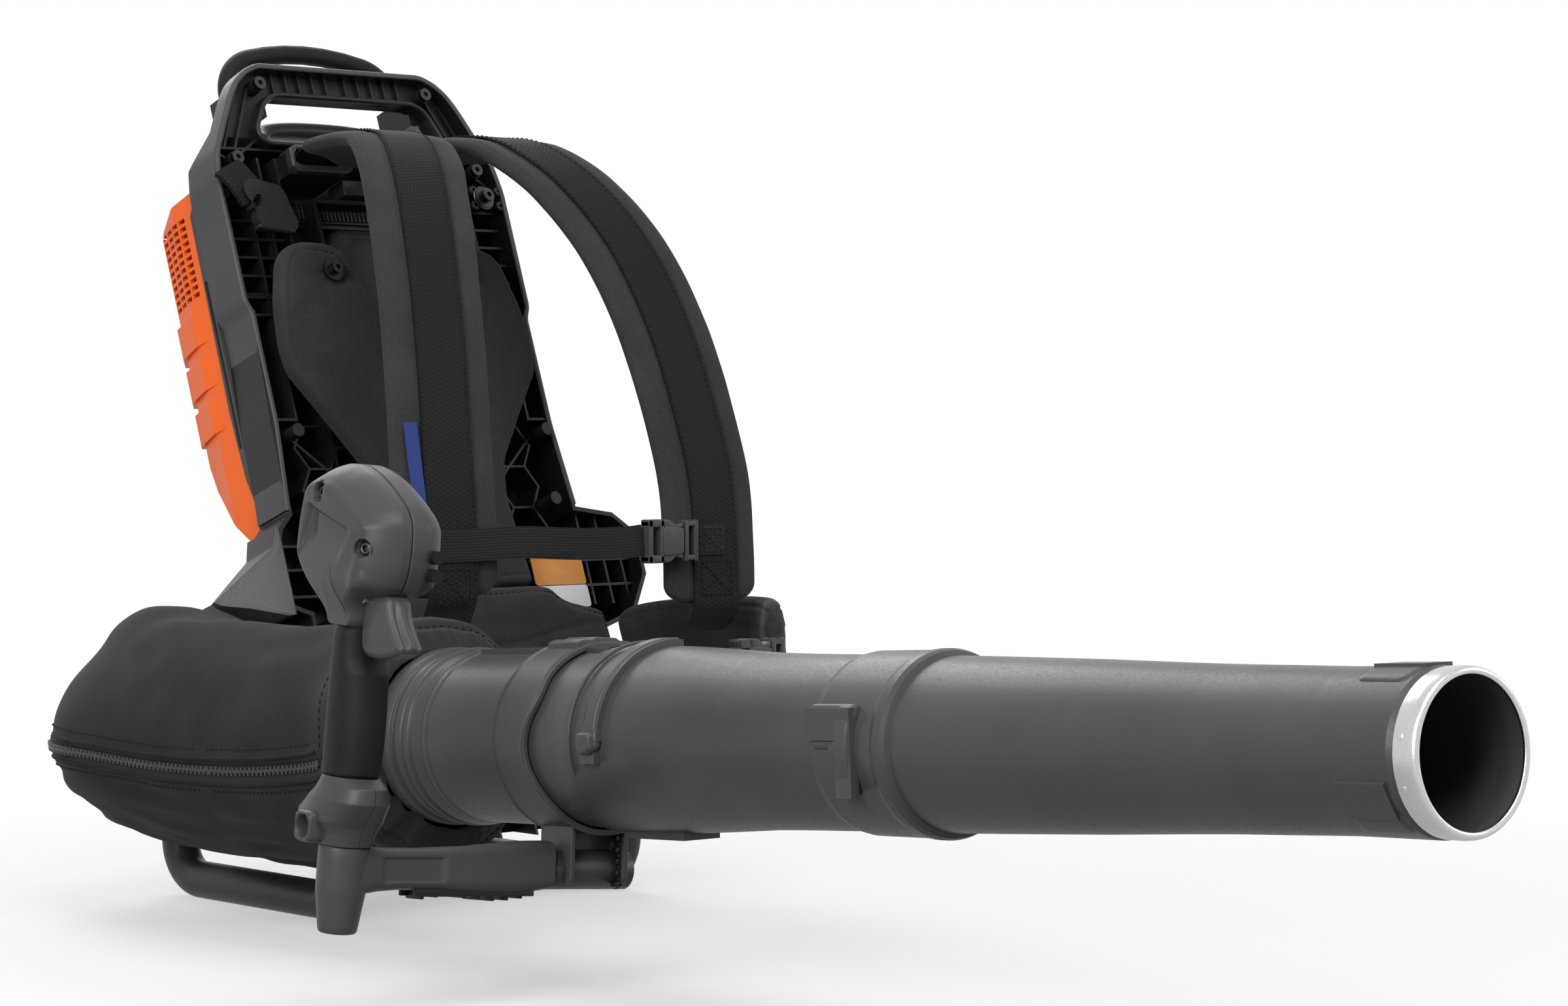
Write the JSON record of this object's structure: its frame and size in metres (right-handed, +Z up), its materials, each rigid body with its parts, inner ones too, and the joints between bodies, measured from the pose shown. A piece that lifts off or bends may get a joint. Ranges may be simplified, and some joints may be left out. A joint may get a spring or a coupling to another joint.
{
  "type": "backpack leaf blower",
  "caption": "Backpack leaf blower: harness frame with battery and fan base, fabric-covered hose, swivelling blow pipe and sliding control handle.",
  "frame": {"origin": "on the ground, at the middle of the overall box", "axes": "+Z up, -Y the way the wearer faces and the pipe blows, -X the wearer's right, where the pipe is"},
  "size_m": [0.5411, 1.2356, 0.5764],
  "materials": {
    "frame_black": "fine grained black moulding",
    "grey_moulding": "fine grained dark grey moulding",
    "pipe_grey": "fine grained dark grey tube",
    "orange": "orange moulding",
    "rubber_black": "matt black rubber",
    "foam_cloth": "charcoal foam cloth",
    "webbing": "black woven webbing",
    "cover_cloth": "charcoal woven cover cloth",
    "buckle_grey": "mid grey moulding",
    "steel": "turned steel",
    "black_screw": "black finished steel",
    "motor": "cast aluminium",
    "board": "circuit board",
    "tag": "plain blue woven tape"
  },
  "bodies": {
    "backpack": {"back_frame": "frame_black", "side_cover_right": "grey_moulding", "side_cover_left": "grey_moulding", "vent_cover_right": "orange", "vent_cover_left": "orange", "spine_housing": "frame_black", "carry_hoop": "rubber_black", "base_front": "grey_moulding", "base_rear": "grey_moulding", "intake_grille": "frame_black", "fan_motor": "motor", "shaft_bearings": "steel", "control_board": "board", "outlet_elbow": "frame_black", "runner_right": "grey_moulding", "runner_left": "grey_moulding", "runner_mounts": "rubber_black", "frame_screws": "black_screw", "back_pad_right": "foam_cloth", "back_pad_left": "foam_cloth", "lumbar_pad": "foam_cloth", "pad_screws": "black_screw", "strap_pad_right": "foam_cloth", "strap_pad_left": "foam_cloth", "webbing_right": "webbing", "webbing_left": "webbing", "chest_strap": "webbing", "chest_buckle": "buckle_grey", "chest_plug": "buckle_grey", "hip_wing_right": "foam_cloth", "hip_wing_left": "foam_cloth", "belt_buckle": "buckle_grey", "lifter_strap": "webbing", "lifter_buckle": "buckle_grey", "hang_tag": "tag", "bellows_hose": "rubber_black", "hose_cover": "cover_cloth"},
    "hose_link": {"hose_ring": "steel"},
    "cuff": {"swivel_cuff": "frame_black"},
    "pipe": {"rail_tube": "pipe_grey", "main_tube": "pipe_grey"},
    "nozzle": {"nozzle_tube": "pipe_grey", "steel_ring": "steel"},
    "bracket": {"clamp_band": "grey_moulding", "clamp_bolt": "black_screw"},
    "handle": {"handle_arm": "grey_moulding", "grip_sleeve": "rubber_black", "head_shell_outer": "grey_moulding", "head_shell_inner": "grey_moulding", "trigger_pin": "steel", "trigger_spring": "steel", "handle_screws": "black_screw"},
    "trigger": {"trigger": "grey_moulding"},
    "power_key": {"power_button": "rubber_black"},
    "boost_key": {"boost_button": "rubber_black"},
    "fan": {"impeller": "frame_black", "fan_shaft": "steel"},
    "battery": {"battery_pack": "frame_black"},
    "latch": {"battery_latch": "grey_moulding"}
  },
  "joints": [
    {"name": "hose_lift", "type": "hinge", "parent": "backpack", "child": "hose_link", "pos_m": [-0.081, 0.316, 0.12], "axis": [-1, 0, 0], "range_deg": [-5, 15], "deforming": ["bellows_hose", "hose_cover"]},
    {"name": "hose_swing", "type": "hinge", "parent": "hose_link", "child": "cuff", "pos_m": [-0.081, 0.316, 0.12], "axis": [0, 0, -1], "range_deg": [-6, 25], "deforming": ["bellows_hose", "hose_cover"]},
    {"name": "pipe_twist", "type": "hinge", "parent": "cuff", "child": "pipe", "pos_m": [-0.08, 0.1365, 0.1365], "axis": [0.0766, 0.9952, -0.061], "range_deg": [-10, 35]},
    {"name": "nozzle_twist", "type": "hinge", "parent": "pipe", "child": "nozzle", "pos_m": [-0.11063, -0.26158, 0.16092], "axis": [-0.0766, -0.9952, 0.061], "range_deg": [0, 18]},
    {"name": "clamp_slide", "type": "slide", "parent": "pipe", "child": "bracket", "axis": [-0.0766, -0.9952, 0.061], "range_m": [-0.055, 0.01]},
    {"name": "handle_tilt", "type": "hinge", "parent": "bracket", "child": "handle", "pos_m": [-0.09454, 0.02007, 0.07125], "axis": [0.9938, -0.0812, -0.0766], "range_deg": [-25, 25]},
    {"name": "trigger_pull", "type": "hinge", "parent": "handle", "child": "trigger", "pos_m": [-0.24093, 0.00996, 0.22591], "axis": [0.9938, -0.0812, -0.0766], "range_deg": [0, 8], "stiffness_Nm_per_rad": 0.4, "springref_deg": -2.86, "deforming": ["trigger_spring"]},
    {"name": "power_press", "type": "slide", "parent": "handle", "child": "power_key", "axis": [0.085, 0.9952, 0.0485], "range_m": [0, 0.0008], "stiffness_N_per_m": 300, "springref_m": -0.001},
    {"name": "boost_press", "type": "slide", "parent": "handle", "child": "boost_key", "axis": [0.085, 0.9952, 0.0485], "range_m": [0, 0.0008], "stiffness_N_per_m": 300, "springref_m": -0.001},
    {"name": "fan_spin", "type": "hinge", "parent": "backpack", "child": "fan", "pos_m": [0.095, 0.501, 0.118], "axis": [0, 1, 0], "continuous": true},
    {"name": "battery_lift", "type": "slide", "parent": "backpack", "child": "battery", "axis": [0, 0.342, 0.9397], "range_m": [0, 0.1]},
    {"name": "latch_press", "type": "slide", "parent": "battery", "child": "latch", "axis": [0, -0.342, -0.9397], "range_m": [0, 0.003], "stiffness_N_per_m": 500, "springref_m": -0.001}
  ]
}
